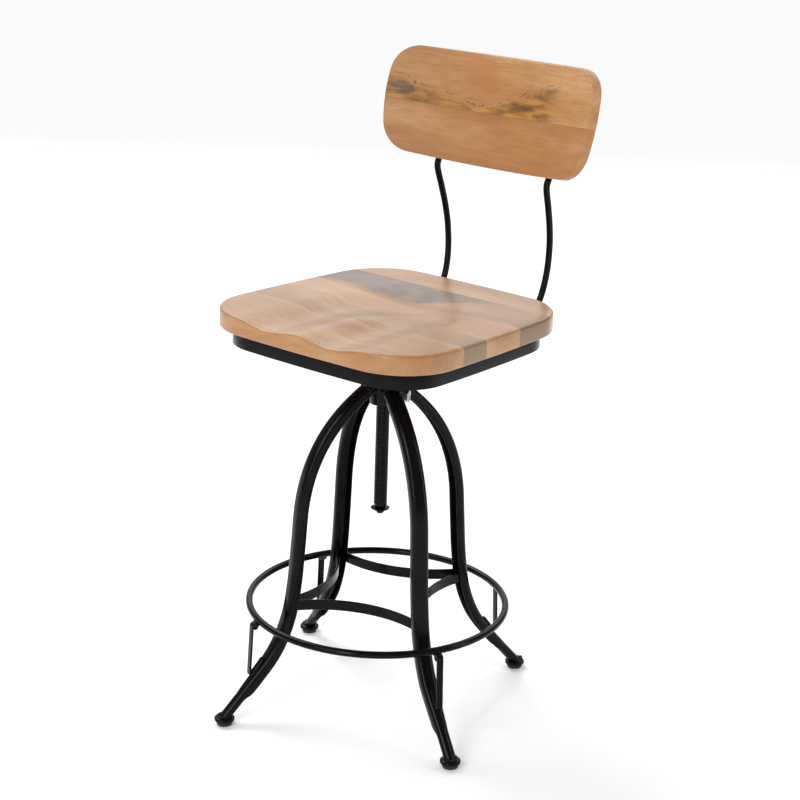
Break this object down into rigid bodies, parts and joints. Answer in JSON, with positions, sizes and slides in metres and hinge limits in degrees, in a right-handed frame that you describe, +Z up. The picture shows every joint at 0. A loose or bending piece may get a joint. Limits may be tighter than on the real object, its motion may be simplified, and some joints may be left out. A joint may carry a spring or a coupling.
{
  "type": "bar stool with footrest",
  "caption": "Screw-lift stool: curved black steel channel legs with a ring footrest, a carved rounded-square wooden seat and a bent wooden backrest on two rods.",
  "frame": {"origin": "on the floor, under the middle of the stool's bounding box; the lifting screw's axis stands 18.1 mm in front of it, at y = -0.0181", "axes": "+Z up along the lifting screw, -Y the front of the seat, +X to the right when the stool is seen from its front"},
  "size_m": [0.4848, 0.5199, 0.9533],
  "materials": {
    "seat_wood": "oiled hardwood boards, satin",
    "backrest_wood": "oiled hardwood boards, satin",
    "black_enamel": "semi-gloss black enamel",
    "spindle_steel": "blackened, oiled thread",
    "zinc": "zinc plated",
    "glide_plastic": "matt black"
  },
  "bodies": {
    "base": {"hub": "black_enamel", "lock_bolt": "zinc", "footrest_ring": "black_enamel", "leg_back_right": "black_enamel", "leg_back_left": "black_enamel", "leg_front_left": "black_enamel", "leg_front_right": "black_enamel", "brace_back": "black_enamel", "brace_left": "black_enamel", "brace_front": "black_enamel", "brace_right": "black_enamel", "footrest_bracket_back_right": "black_enamel", "footrest_bracket_back_left": "black_enamel", "footrest_bracket_front_left": "black_enamel", "footrest_bracket_front_right": "black_enamel", "foot_collar_back_right": "black_enamel", "foot_collar_back_left": "black_enamel", "foot_collar_front_left": "black_enamel", "foot_collar_front_right": "black_enamel", "foot_glide_back_right": "glide_plastic", "foot_glide_back_left": "glide_plastic", "foot_glide_front_left": "glide_plastic", "foot_glide_front_right": "glide_plastic"},
    "lift_carrier": {"stop_washer": "black_enamel"},
    "seat_assembly": {"seat": "seat_wood", "seat_band": "black_enamel", "cross_strap_front": "black_enamel", "cross_strap_rear": "black_enamel", "top_plate": "black_enamel", "spindle_boss": "black_enamel", "spindle": "spindle_steel", "stop_bolt": "black_enamel", "backrest": "backrest_wood", "seat_screw_front_left": "zinc", "seat_screw_front_right": "zinc", "seat_screw_rear_left": "zinc", "seat_screw_rear_right": "zinc", "back_rod_left": "black_enamel", "back_rod_right": "black_enamel", "back_plate_left": "black_enamel", "back_plate_right": "black_enamel", "rod_lug_left": "black_enamel", "rod_lug_right": "black_enamel", "back_screw_left_lower": "zinc", "back_screw_left_upper": "zinc", "back_screw_right_lower": "zinc", "back_screw_right_upper": "zinc", "lug_bolt_left_inner": "zinc", "lug_bolt_left_outer": "zinc", "lug_bolt_right_inner": "zinc", "lug_bolt_right_outer": "zinc", "lug_nut_left_inner": "zinc", "lug_nut_left_outer": "zinc", "lug_nut_right_inner": "zinc", "lug_nut_right_outer": "zinc"}
  },
  "joints": [
    {"name": "seat_lift", "type": "slide", "parent": "base", "child": "lift_carrier", "axis": [0, 0, 1], "range_m": [0, 0.16]},
    {"name": "seat_turn", "type": "hinge", "parent": "lift_carrier", "child": "seat_assembly", "pos_m": [0, -0.01808, 0.6], "axis": [0, 0, 1], "range_deg": [0, 14400]}
  ],
  "couplings": [
    {"joint": "seat_lift", "follows": "seat_turn", "m_per_rad": 0.00063662}
  ]
}
